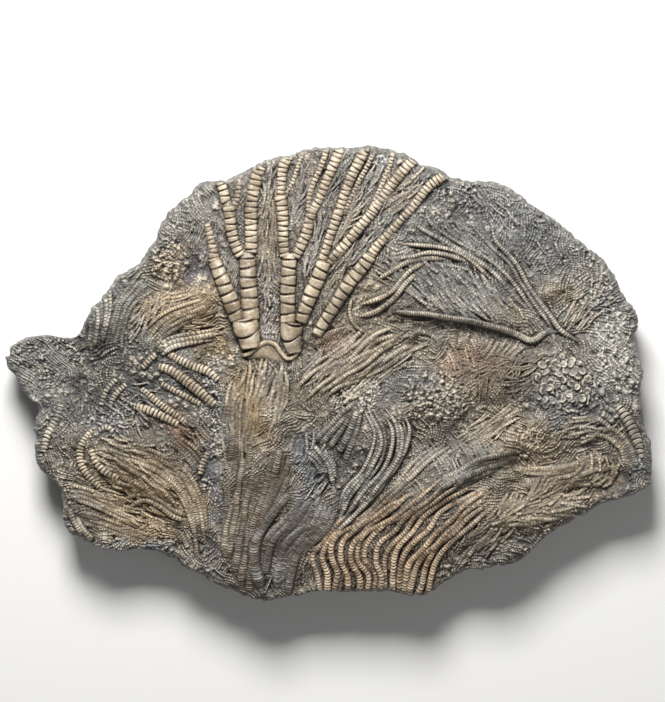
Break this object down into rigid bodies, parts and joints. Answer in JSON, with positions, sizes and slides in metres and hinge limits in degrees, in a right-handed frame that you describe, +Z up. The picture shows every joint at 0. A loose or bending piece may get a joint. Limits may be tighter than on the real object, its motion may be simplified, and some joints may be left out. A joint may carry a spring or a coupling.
{
  "type": "crinoid fossil",
  "caption": "Flat slab of rock with a sea lily fossil on its face: a cup with ribbed branching arms, sheaves of fine stem strands and loose ossicles, lying on its flat underside.",
  "frame": {"origin": "on the flat underside, under the middle of the slab's box", "axes": "+Z up out of the fossil face, +X along the slab's long side towards the rosette, +Y towards the free ends of the arms"},
  "size_m": [0.15, 0.1064, 0.0162],
  "materials": {
    "fossil_stone": "satin"
  },
  "bodies": {
    "root": {"fossil_slab": "fossil_stone"}
  },
  "joints": []
}
